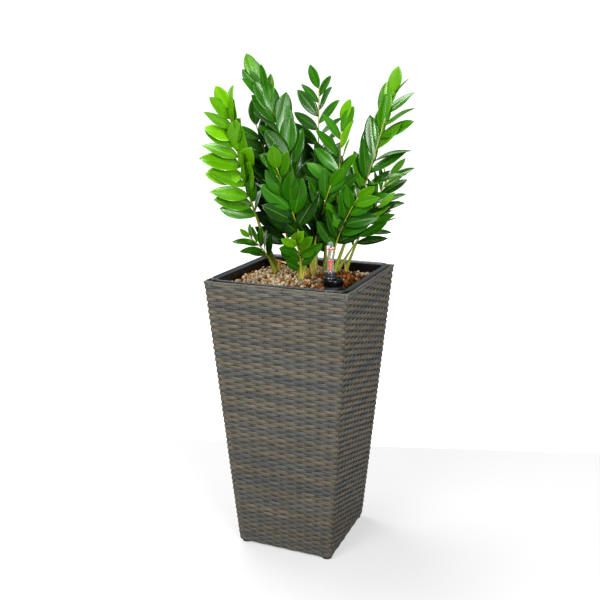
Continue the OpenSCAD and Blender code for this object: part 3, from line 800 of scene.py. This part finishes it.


# One frond: where its foot stands and where its tip is from the top of the foot (mm), how it bows, the
# direction its leaflets spread in, its pairs of leaflets, how thick its foot is, how fresh its green is (its
# leaflets take painted shade on top of this deep in the plant), how far its lowest and highest leaflets lean
# out, how far they are raised in a V and rolled to face its tip (degrees), whether their upper side faces the
# middle of the plant (1) or away (-1), their length and width (mm), how much more the left row leans and
# rolls than the right one, the lower share that carries no leaflets, and how far its end leaflet leans to the
# side.
Frond = namedtuple("Frond", "foot reach bow spread pairs thick fresh lean_low lean_high raised roll face "
                            "length width skew bare tip")
FRONDS = [Frond(*row) for row in (
    ((-71, 31), (-70, -68, 334), (0.85, 0.55), -8, 11, 1.0, 0.74, 54, 40, 34, 44, -1, 70, 38, 10, 0.32, -0.5),
    ((-34, 62), (-104, 3, 394), (-0.10, 0.60), 29, 11, 0.9, 0.38, 34, 16, 14, 14, 1, 70, 34, 0, 0.26, 0.2),
    ((-2, 73), (-13, 49, 373), (1.00, 0.55), -10, 9, 0.8, 0.20, 46, 42, 22, 30, 1, 70, 27, 0, 0.26, -0.35),
    ((31, 48), (37, -19, 310), (1.00, 0.40), -12, 8, 0.7, 0.60, 52, 40, 25, 50, 1, 70, 26, 8, 0.26, 0.6),
    ((49, 49), (98, 58, 362), (0.60, 0.50), 12, 11, 0.75, 0.50, 38, 20, 24, 30, 1, 76, 31, -10, 0.26, 0.0),
    ((50, 68), (79, 32, 134), (0.50, 0.50), 26, 6, 0.6, 0.52, 44, 30, 22, 40, 1, 60, 18, 0, 0.38, 0.2),
    ((4, 1), (-22, -92, 224), (0.10, 0.40), 22, 5, 1.0, 0.40, 40, 20, 24, 25, -1, 80, 34, 0, 0.45, 0.2),
    ((-70, 14), (-32, -55, 77), (0.35, 0.65), 40, 5, 0.7, 0.50, 42, 20, 30, 45, 1, 50, 14, 0, 0.26, 0.2),
    ((12, 21), (52, -36, 186), (0.00, 0.40), 21, 6, 1.0, 0.28, 40, 24, 24, 25, -1, 74, 29, 0, 0.22, 0.2),
    ((-50, 60), (-97, 30, 298), (0.20, 0.40), 24, 10, 0.7, 0.10, 46, 30, 22, 26, 1, 76, 31, 0, 0.20, 0.2),
    ((63, 85), (82, 32, 200), (0.40, 0.50), 34, 8, 0.6, 0.30, 42, 30, 20, 45, 1, 62, 18, 0, 0.34, 0.2),
    ((21, 71), (-6, 17, 221), (-0.20, 0.60), 30, 8, 0.8, 0.06, 44, 28, 24, 30, 1, 72, 30, 0, 0.14, 0.2),
    ((6, -26), (4, -42, 84), (0.00, 0.60), 20, 4, 0.95, 0.92, 58, 24, 36, 26, -1, 54, 21, 0, 0.16, 0.3),
    ((56, 20), (64, -35, 165), (-0.10, 0.40), 12, 5, 0.7, 0.46, 38, 26, 26, 30, -1, 70, 26, 0, 0.40, 0.3),
)]
FOOT_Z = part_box("frond_01")[0][2]
STALK_R = 6.2 * MM                       # radius of a foot of thickness 1


def free_of_things(x, y, r):
    """Whether a granule of radius r clears the cap and the stalks."""
    if math.hypot(x - CAP_X, y - CAP_Y) < CAP_R + 0.6 * r:
        return False
    return all(math.hypot(x - f.foot[0] * MM, y - f.foot[1] * MM) > (6.4 * f.thick + 0.4) * MM + 0.5 * r
               for f in FRONDS)


def in_tub(x, y, r):
    """Whether a granule of radius r stays inside the tub's round corners."""
    corner = 15 * MM
    flat = BED_HALF - corner
    return math.hypot(max(abs(x) - flat, 0), max(abs(y) - flat, 0)) <= corner - r


def clay_here(x, y):
    """Clay pellets lie to the right and at the front, thinly along the left wall, and a few anywhere."""
    lean = (x + 0.15 * y) / BED_HALF + 0.20 * math.sin(y * 55 + 1) + 0.14 * RNG.standard_normal()
    is_clay = lean > 0.22 and not (y > 0.62 * BED_HALF + 0.1 * x)
    if x < -0.80 * BED_HALF and RNG.random() < 0.5:
        is_clay = True
    if RNG.random() < 0.07:
        is_clay = not is_clay
    return is_clay


def random_turn():
    """Rotation matrix of a random unit quaternion."""
    w, a, b, c = unit(RNG.standard_normal(4))
    return np.array([[1 - 2 * (b * b + c * c), 2 * (a * b - c * w), 2 * (a * c + b * w)],
                     [2 * (a * b + c * w), 1 - 2 * (a * a + c * c), 2 * (b * c - a * w)],
                     [2 * (a * c - b * w), 2 * (b * c + a * w), 1 - 2 * (a * a + b * b)]])


# Three loose layers, from the lowest up: how far apart the granules are, and how far their middles lie
# above the bed's surface, for clay and for pale ones (mm)
LAYERS = ((7.0, -6.2, -5.0), (8.3, -1.2, -1.2), (15.0, 2.6, 2.6))


def scatter():
    """The loose granules on top: broken pale ones and round clay pellets."""
    pale, clay = Shape(), Shape()
    pebbles = [blob(s, 0.10, (1.0, 0.88, 0.78), 0.85) for s in range(8)]
    pellets = [blob(40 + s, 0.035, (1.0, 0.97, 0.94)) for s in range(5)]
    for layer, (gap, clay_level, pale_level) in enumerate(LAYERS):
        gap = gap * MM
        n = int(2 * BED_HALF / gap) + 1
        for i, j in np.ndindex(n, n):
            x = -BED_HALF + (i + 0.5 * (j % 2)) * gap + 0.32 * gap * RNG.standard_normal()
            y = -BED_HALF + j * gap + 0.32 * gap * RNG.standard_normal()
            is_clay = clay_here(x, y)
            r = (3.3 + 1.1 * RNG.random()) * MM if is_clay else (2.8 + 2.6 * RNG.random() ** 1.4) * MM
            edge = BED_HALF - r - 0.4 * MM
            if max(abs(x), abs(y)) > edge + 0.8 * MM:
                continue
            x, y = np.clip(x, -edge, edge), np.clip(y, -edge, edge)
            if not in_tub(x, y, r) or not free_of_things(x, y, r):
                continue
            if is_clay and layer == 1 and RNG.random() < 0.25:
                continue
            above = (clay_level if is_clay else pale_level) - 0.5 + 0.8 * RNG.standard_normal()
            z = min(bed_height(x, y) + above * MM, BED_TOP + 6 * MM)
            kinds = pellets if is_clay else pebbles
            co, tri = kinds[RNG.integers(len(kinds))]
            place = co @ random_turn().T * r + (x, y, z)
            (clay if is_clay else pale).add(place, [tri], tone=RNG.random())
    return pale, clay


def bed_fill():
    """The mass of granules under the loose top ones: a lumpy surface on a tapering block."""
    n = 90
    t = np.linspace(-1, 1, n)
    x, y = np.meshgrid(t, t, indexing="ij")
    # push the square grid's corners in to the tub's rounded ones
    k = 1 - 0.055 * (np.abs(x * y)) ** 6
    x, y = x * BED_HALF * k, y * BED_HALF * k
    lumps = 0.9 * MM * (np.sin(x * 900) * np.sin(y * 870 + 1) + np.sin(x * 610 + y * 700))
    # the underside stays above the float's highest place, and a well holds the fill tube
    low_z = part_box("float_body")[1][2] + 33 * MM
    tube_lo, tube_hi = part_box("fill_tube")
    in_tube = np.hypot(x - CAP_X, y - CAP_Y) < (tube_hi[0] - tube_lo[0]) / 2
    surface = bed_height(x, y) - 5.5 * MM + lumps
    top = np.stack([x, y, np.where(in_tube, low_z + 3 * MM, surface)], -1)
    low = top.copy()
    low[..., :2] *= (tub_half(low_z) - WALL - BED_GAP) / BED_HALF
    low[..., 2] = low_z
    shape = Shape()
    shape.add(np.concatenate([top.reshape(-1, 3), low.reshape(-1, 3)]), slab_faces(n, n), tone=0.2)
    return shape


PUMICE = granule_material("pumice", (0.22, 0.155, 0.085), (0.46, 0.37, 0.24), (0.60, 0.52, 0.38), 1.0)
CLAY = granule_material("clay_pellet", (0.045, 0.014, 0.003), (0.26, 0.088, 0.014), (0.30, 0.14, 0.045), 0.5)
pale, clay = scatter()
make_piece("granules_pale", pale, PUMICE, "liner")
make_piece("granules_clay", clay, CLAY, "liner")
make_piece("granule_mass", bed_fill(), granule_mass_material(), "liner",
           replaces=("granule_bed",))


# ---------- plant ----------

STALK_RISE = 44 * MM                     # from the foot's underside to where the stalk's curve starts
LEAFY_END = 0.98                         # share of the stalk where the rows of leaflets end


def stalk_curve(f, t):
    """Point at a share of the way along a frond's stalk."""
    start = np.array([f.foot[0] * MM, f.foot[1] * MM, FOOT_Z + STALK_RISE])
    reach = np.array(f.reach, float) * MM
    bend = start + reach * [f.bow[0], f.bow[0], f.bow[1]]
    t = np.asarray(t, float)[..., None]
    return (1 - t) ** 2 * start + 2 * t * (1 - t) * bend + t * t * (start + reach)


def stalk_along(f, t):
    return unit(stalk_curve(f, t + 0.01) - stalk_curve(f, t - 0.01))


def blade(shape, root, ahead, normal, length, width, fold, curl, twist, fresh, dry=0.0):
    """One leaflet: a thin closed blade, folded at its midrib, curved along its length."""
    thick = 0.45 * MM
    nl, nw = 13, 9
    s = np.linspace(0, 1, nl) ** 0.92
    lat = np.linspace(-1, 1, nw)
    wide = (s ** 0.80) * ((1 - s) ** 0.82)
    wide = width / 2 * wide / wide.max()
    wide = np.maximum(wide, np.where(s < 0.5, 0.9 * MM, 0.12 * MM))
    across = unit(np.cross(normal, ahead))
    normal = np.cross(ahead, across)
    own = RNG.random() * 10
    ripple = 0.011 * length * np.sin(s * 7 + own)
    x = s * length
    bend = curl * length * s ** 2
    cos, sin = np.cos(twist * s)[:, None], np.sin(twist * s)[:, None]
    turned_across = cos * across + sin * normal
    turned_normal = -sin * across + cos * normal
    y = lat[None, :] * wide[:, None]
    lift = (fold * np.abs(y) + ripple[:, None] * (np.abs(lat)[None, :] ** 2)
            - 0.16 * np.abs(y) * np.abs(lat)[None, :])
    top = (root + x[:, None, None] * ahead + bend[:, None, None] * normal
           + y[..., None] * turned_across[:, None, :] + lift[..., None] * turned_normal[:, None, :])
    thin_edge = 1 - 0.8 * np.abs(lat)[None, :, None] ** 3
    low = top - turned_normal[:, None, :] * (thick * thin_edge)
    info = np.stack(np.broadcast_arrays(s[:, None], lat[None, :], own), -1).reshape(-1, 3)
    shape.add(np.concatenate([top.reshape(-1, 3), low.reshape(-1, 3)]), slab_faces(nl, nw),
              blade=np.concatenate([info, info]), fresh=fresh, under=np.repeat([0.0, 1.0], nl * nw),
              stalk=0.0, dry=dry)


def stalk(shape, number, f):
    """A stalk that swells above its foot, with papery sheaths round the foot."""
    sides = 14
    foot = np.array([[f.foot[0] * MM, f.foot[1] * MM, FOOT_Z + z * MM] for z in (0, 14, 28, 36)])
    t = np.concatenate([np.linspace(0, 0.2, 9), np.linspace(0.24, 1, 26)])
    curve = stalk_curve(f, t)
    radius = (1.25 + (4.4 * f.thick) * (1 - t) ** 3.2) * MM
    swelling = np.exp(-((curve[:, 2] - (FOOT_Z + 46 * MM)) / (16 * MM)) ** 2) * f.thick * MM
    radius = np.concatenate([np.full(len(foot), STALK_R * f.thick), radius + swelling])
    co, faces = tube(np.concatenate([foot, curve]), radius, sides)
    height = np.repeat(np.concatenate([np.zeros(len(foot)), t]), sides)
    shape.add(co, faces, blade=np.array([0.5, 0.5, number * 1.0]), under=0.0, stalk=1.0, dry=0.0,
              fresh=np.clip(0.15 + height * 0.6, 0, 1))
    for _ in range(3 if f.thick > 0.8 else 1):
        a = RNG.random() * 6.28
        out = np.array([math.cos(a), math.sin(a), 0])
        root = foot[0] + UP * 30 * MM + out * 5.4 * f.thick * MM
        blade(shape, root, unit(UP + 0.12 * out), -out, (24 + 12 * RNG.random()) * MM, 9 * f.thick * MM,
              0.5, 0.05, 0, 0.2, 0.85)


def leaflet(shape, f, share, turn, level, sign):
    """One leaflet at a share of the way up the leafy part of the stalk; turn is 1 or -1 for its row."""
    t = f.bare + (LEAFY_END - f.bare) * share
    at = stalk_curve(f, t)
    along = stalk_along(f, t)
    side = unit(level - (level @ along) * along) * turn
    upper = unit(np.cross(along, side * turn)) * sign
    lean = math.radians(f.lean_low + (f.lean_high - f.lean_low) * share - turn * f.skew
                        + 8 * RNG.standard_normal())
    raised = math.radians(f.raised + 8 * RNG.standard_normal())
    roll = math.radians(f.roll - turn * 1.6 * f.skew + 15 * RNG.standard_normal())
    outward = math.cos(raised) * side + math.sin(raised) * upper
    ahead = unit(math.cos(lean) * along + math.sin(lean) * outward)
    plain = unit(upper - (upper @ ahead) * ahead)
    tipward = unit(along - (along @ ahead) * ahead)
    normal = unit(math.cos(roll) * plain + math.sin(roll) * tipward)
    size = 0.74 + 0.38 * math.sin(math.pi * t) + 0.05 * RNG.standard_normal()
    # leaflets low down and near the plant's middle are darker: painted shade deep in the plant
    inner = 1 - np.clip((math.hypot(at[0] - 0.01, at[1]) - 0.03) / 0.05, 0, 1)
    deep = 1 - np.clip((at[2] - FOOT_Z - 0.10) / 0.12, 0, 1)
    fresh = f.fresh + 0.62 * (t - 0.68) + 0.13 * RNG.standard_normal() - 0.22 * inner * deep - 0.08 * deep
    length = f.length * MM * size
    width = f.width * MM * size * (0.95 + 0.12 * RNG.random())
    fold = 0.32 + 0.08 * RNG.standard_normal()
    curl = -0.07 + 0.06 * RNG.standard_normal()
    twist = 0.25 * RNG.standard_normal()
    blade(shape, at + side * MM, ahead, normal, length, width, fold, curl, twist, float(np.clip(fresh, 0, 1)))


def frond(number, f):
    """A stalk with a swollen foot, two rows of leaflets and one at its end."""
    shape = Shape()
    stalk(shape, number, f)
    level = np.array([math.cos(math.radians(f.spread)), math.sin(math.radians(f.spread)), 0])
    middle = stalk_curve(f, 0.6)
    inward = np.array([-middle[0], -middle[1], 0]) * f.face
    sign = np.sign(np.cross(stalk_along(f, 0.6), level) @ inward)
    for i in range(f.pairs):
        for turn in (-1, 1):
            leaflet(shape, f, (i + 0.25 + 0.25 * turn) / f.pairs, turn, level, sign)
    along = stalk_along(f, 0.99)
    side = unit(level - (level @ along) * along)
    upper = unit(np.cross(along, side)) * sign
    blade(shape, stalk_curve(f, 0.985), unit(along + f.tip * side + 0.25 * upper), upper,
          0.74 * f.length * MM, 0.84 * f.width * MM, 0.3, -0.05, 0.1, float(np.clip(f.fresh + 0.3, 0, 1)))
    return shape


LEAF = leaf_material()
for number, f in enumerate(FRONDS, 1):
    name = "frond_%02d" % number
    make_piece(name + "_shown", frond(number, f), LEAF, "liner", replaces=(name,))

fallen = Shape()
blade(fallen, np.array([-0.072, 0.098, BED_TOP - 4 * MM]), unit([-0.9, 0.1, 0.12]), UP, 46 * MM, 17 * MM,
      0.5, 0.10, 0.4, 0.3, 1.0)
make_piece("fallen_leaf", fallen, LEAF, "liner")
dress(("plant_rhizome",),
      granule_material("tuber_skin", (0.30, 0.20, 0.10), (0.45, 0.33, 0.18), (0.55, 0.45, 0.30), 0.4))


# ---------- gauge ----------

collar_lo, collar_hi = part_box("gauge_collar")
glass_lo, glass_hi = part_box("sight_tube")
GAUGE_AT = axis_of("gauge_stem")

CAP = plastic_material("cap_plastic", (0.0025, 0.0027, 0.0035), 0.24, 0.05, 0.008, spec=0.35)
COLLAR = plastic_material("collar_plastic", (0.065, 0.076, 0.090), 0.20, 0.02, 0.02, spec=1.0)
COLLAR.node_tree.nodes["Principled BSDF"].inputs["Metallic"].default_value = 0.7
RED = plastic_material("red_mark", (0.80, 0.004, 0.008), 0.28, 0.05, 0.04)
CLEAR = clear_material("clear_acrylic", (0.42, 0.45, 0.44), 0.05, 0.12, 0.62)


def cap_shape():
    """The cap: a round lid with a hole for the gauge, a pouring hole, a raised lip and a plug below."""
    r, plug_r, plug_h = CAP_R / MM, 15.3, 6
    z0, z1 = cap_lo[2] / MM + plug_h, cap_hi[2] / MM
    lid = ((plug_r, z0 - plug_h), (plug_r, z0), (r - 0.8, z0), (r, z0 + 0.8), (r, z1 - 2.4),
           (r - 0.35, z1 - 1.2), (r - 1.2, z1 - 0.35), (r - 2.2, z1), (r - 3.2, z1 - 0.15),
           (r - 3.8, z1 - 0.7), (r - 4.6, z1 - 0.8))
    # the top closes on the gauge's stem, which stands off centre
    hub = ((12.1, z1 - 0.8), (11.9, z1 - 0.05), (11.6, z1), (9.15, z1), (9.15, z0 - plug_h))
    n = 96
    rings = []
    for outline, at in ((lid, (CAP_X, CAP_Y, 0)), (hub, GAUGE_AT)):
        rings += [circle_points(radius * MM, z * MM, n) + at for radius, z in outline]
    shape = Shape()
    shape.add(np.stack(rings), [grid_faces(len(rings), n, True, True)])
    # pouring hole: a short dark collar with a blank disc just inside it
    pour = ((0.01, z1 - 0.9), (2.9, z1 - 0.9), (3.1, z1 - 0.1), (3.5, z1 + 0.15), (3.95, z1 - 0.1),
            (4.0, z1 - 2), (0.01, z1 - 2))
    shape.add(*lathe(pour, (CAP_X + 10.2 * MM, CAP_Y, 0), 32))
    return shape


make_piece("cap", cap_shape(), CAP, "gauge", replaces=("fill_cap",))

COLLAR_R = (collar_hi[0] - collar_lo[0]) / 2 / MM
GLASS_LOW_R, GLASS_HIGH_R, GLASS_T = 6.6, 6.0, 1.2
GLASS_Z0 = glass_lo[2] / MM
DOME_Z = glass_hi[2] / MM - GLASS_HIGH_R


def collar_shape():
    """The collar under the glass: a foot ring, grip ribs and a shoulder."""
    z0, z1, r = collar_lo[2] / MM, collar_hi[2] / MM, COLLAR_R

    def ribs(a, z):
        inside = (z > (z0 + 2.2) * MM) & (z < (z1 - 3.4) * MM)
        return np.where(inside, 0.16 * MM * np.abs(np.sin(a * 14)) ** 0.5, 0.0)

    outline = [(6.8, z0), (r - 0.4, z0), (r, z0 + 0.4), (r, z0 + 1.4), (r - 0.5, z0 + 1.9)]
    outline += [(r - 0.6, z0 + 2.3 + k * 0.9) for k in range(8)]
    outline += [(r - 0.9, z1 - 2.6), (r - 0.5, z1 - 2.1), (r - 0.3, z1 - 1.4), (r - 0.6, z1 - 0.4),
                (r - 1.2, z1), (6.8, z1)]
    return turned(outline, GAUGE_AT, 168, ribs)


def glass_r(z):
    """Outer radius of the sight glass below its dome, in mm."""
    return GLASS_LOW_R + (GLASS_HIGH_R - GLASS_LOW_R) * (z - GLASS_Z0) / (DOME_Z - GLASS_Z0)


def glass_shape():
    """The clear sight glass: a flange, a wall that narrows a little, and a round top."""
    z0, z_wall, rc, r = GLASS_Z0, GLASS_Z0 + 2, COLLAR_R, GLASS_HIGH_R
    low_r, core_r = GLASS_LOW_R, GLASS_HIGH_R - GLASS_T
    top = math.pi / 2 - 0.02
    outline = [(rc - 0.2, z0), (rc + 0.2, z0 + 0.3), (rc + 0.2, z0 + 0.9), (rc - 0.1, z0 + 1.2),
               (low_r + 0.8, z0 + 1.25), (low_r + 0.1, z0 + 1.8)]
    outline += [(low_r + (r - low_r) * k, z_wall + (DOME_Z - z_wall) * k) for k in np.linspace(0, 1, 8)]
    outline += [(r * math.cos(b), DOME_Z + r * math.sin(b)) for b in np.linspace(0.15, top, 10)]
    outline += [(core_r * math.cos(b), DOME_Z + core_r * math.sin(b)) for b in np.linspace(top, 0.0, 9)]
    outline += [(low_r - GLASS_T, z0)]
    return turned(outline, GAUGE_AT)


def mark_shape():
    """The two bands on the glass, at the water's lowest and highest level."""
    lo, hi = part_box("level_marks")
    tall = 0.8
    shape = Shape()
    for z in (lo[2] / MM + tall, hi[2] / MM - tall):
        r = glass_r(z)
        band = ((r + 0.01, z - tall), (r + 0.2, z - tall), (r + 0.26, z - 0.6), (r + 0.26, z + 0.6),
                (r + 0.2, z + tall), (r + 0.01, z + tall))
        shape.add(*lathe(band, GAUGE_AT))
    return shape


def pointer_shape():
    """The float's rod with its thick pointer at the top."""
    lo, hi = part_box("float_rod")
    z0, z1 = lo[2] / MM, hi[2] / MM
    outline = ((0.01, z0), (1.2, z0), (1.2, z1 - 54.5), (1.9, z1 - 54), (2.1, z1 - 53.4), (2.1, z1 - 40),
               (2.0, z1 - 39.6), (2.1, z1 - 39.2), (2.1, z1 - 1.0), (1.8, z1 - 0.3), (1.2, z1), (0.01, z1))
    return turned(outline, GAUGE_AT, 24)


make_piece("collar", collar_shape(), COLLAR, "gauge", replaces=("gauge_collar",))
make_piece("sight_glass", glass_shape(), CLEAR, "gauge", replaces=("sight_tube",))
make_piece("marks", mark_shape(), RED, "gauge", replaces=("level_marks",))
make_piece("pointer", pointer_shape(), RED, "float", replaces=("float_rod",))

dress(("gauge_stem",), plastic_material("stem_plastic", (0.03, 0.032, 0.035), 0.4, 0.15, 0.05))
dress(("float_body",), plastic_material("float_plastic", (0.70, 0.70, 0.66), 0.5, 0.2, 0.05))
dress(("drain_plug",), plastic_material("plug_plastic", (0.015, 0.016, 0.018), 0.45, 0.2, 0.06))
dress(("drain_seal",), plastic_material("seal_rubber", (0.012, 0.012, 0.012), 0.75, 0.4, 0.03, spec=0.3))


# ---------- stage, light and camera ----------

def floor_material():
    """Painted shadow under the casing, lit grey-white near it, and glowing white from the backdrop's line on.
    """
    # dark: painted shadow, the floor's colour under the casing
    dark = (0.03, 0.03, 0.03)
    bounced = (0.32, 0.32, 0.32)         # what the floor gives back to everything but the camera
    backdrop_line = 0.452                # metres behind the planter, square to the camera's view
    m = Nodes("studio_white")
    at = m.coords()
    seen = m.new("ShaderNodeLightPath")
    cloud = m.remap(m.noise(at, 1.5, 2), 0.3, 0.7)
    base = m.mix(seen, bounced, m.mix(cloud, (0.27, 0.27, 0.27), (0.285, 0.285, 0.285)))
    place = m.split(at)
    off_axis = m.math("MAXIMUM", m.math("ABSOLUTE", place[0]), m.math("ABSOLUTE", place[1]))
    # painted shadow: inside the casing's footprint the floor goes dark and does not glow
    open_air = m.remap(off_axis, 0.085, 0.100)
    base = m.mix(open_air, dark, base)
    behind = m.math("ADD", m.math("MULTIPLY", place[0], -0.307), m.math("MULTIPLY", place[1], 0.955))
    distance = m.new("ShaderNodeVectorMath", {0: at}, out=1, operation="LENGTH")
    white = m.math("MAXIMUM", m.remap(behind, backdrop_line, backdrop_line + 0.004, 0.43, 1.0),
                   m.remap(distance, 0.9, 1.2))
    glow = m.math("MULTIPLY", m.math("MULTIPLY", seen, open_air), white)
    return m.done(Base_Color=base, Roughness=0.9, Specular_IOR_Level=0.1, Emission_Color=(1, 1, 1),
                  Emission_Strength=glow, Normal=m.bump(m.noise(at, 300, 2), 0.02, 0.001))


def stage():
    """A flat floor, 12 m across."""
    s = 6.0
    mesh = bpy.data.meshes.new("studio")
    mesh.from_pydata([(-s, -s, 0), (s, -s, 0), (s, s, 0), (-s, s, 0)], [], [(0, 1, 2, 3)])
    mesh.materials.append(floor_material())
    obj = bpy.data.objects.new("studio", mesh)
    bpy.context.scene.collection.objects.link(obj)


def surroundings():
    """A world that is white to the camera and a dim fill for everything else."""
    world = bpy.data.worlds.new("studio_world")
    bpy.context.scene.world = world
    world.use_nodes = True
    sky = world.node_tree
    background = sky.nodes["Background"]
    background.inputs["Color"].default_value = (1.0, 1.0, 1.0, 1)
    seen = sky.nodes.new("ShaderNodeLightPath")
    strength = sky.nodes.new("ShaderNodeMapRange")
    strength.inputs["To Min"].default_value = 0.38
    strength.inputs["To Max"].default_value = 1.0
    sky.links.new(seen.outputs["Is Camera Ray"], strength.inputs["Value"])
    sky.links.new(strength.outputs[0], background.inputs["Strength"])


def aim(obj, place, target):
    obj.location = place
    obj.rotation_mode = "QUATERNION"
    obj.rotation_quaternion = (Vector(target) - Vector(place)).to_track_quat("-Z", "Y")
    bpy.context.scene.collection.objects.link(obj)


def area(name, place, target, size, power):
    """A round area light."""
    light = bpy.data.lights.new(name, "AREA")
    light.shape = "DISK"
    light.size = size
    light.energy = power
    aim(bpy.data.objects.new(name, light), place, target)


stage()
surroundings()
area("key", (-0.5, -2.4, 2.2), (0, 0, 0.6), 1.2, 54)
area("fill", (2.0, -2.0, 1.3), (0, 0, 0.5), 1.1, 74)
area("back", (-0.8, 0.4, 2.8), (0, 0, 0.5), 1.4, 56)
area("rear", (-2.4, 1.3, 0.9), (0, 0, 0.4), 2.4, 16)

cam_data = bpy.data.cameras.new("camera")
cam_data.lens = 50.0
cam_data.sensor_width = 36.0
camera = bpy.data.objects.new("camera", cam_data)
aim(camera, (0.632, -1.538, 0.9335), (-0.006, -0.0025, 0.518))
bpy.context.scene.camera = camera
bpy.context.scene.view_settings.view_transform = "Standard"
bpy.context.scene.view_settings.look = "Medium High Contrast"

bpy.context.view_layer.update()
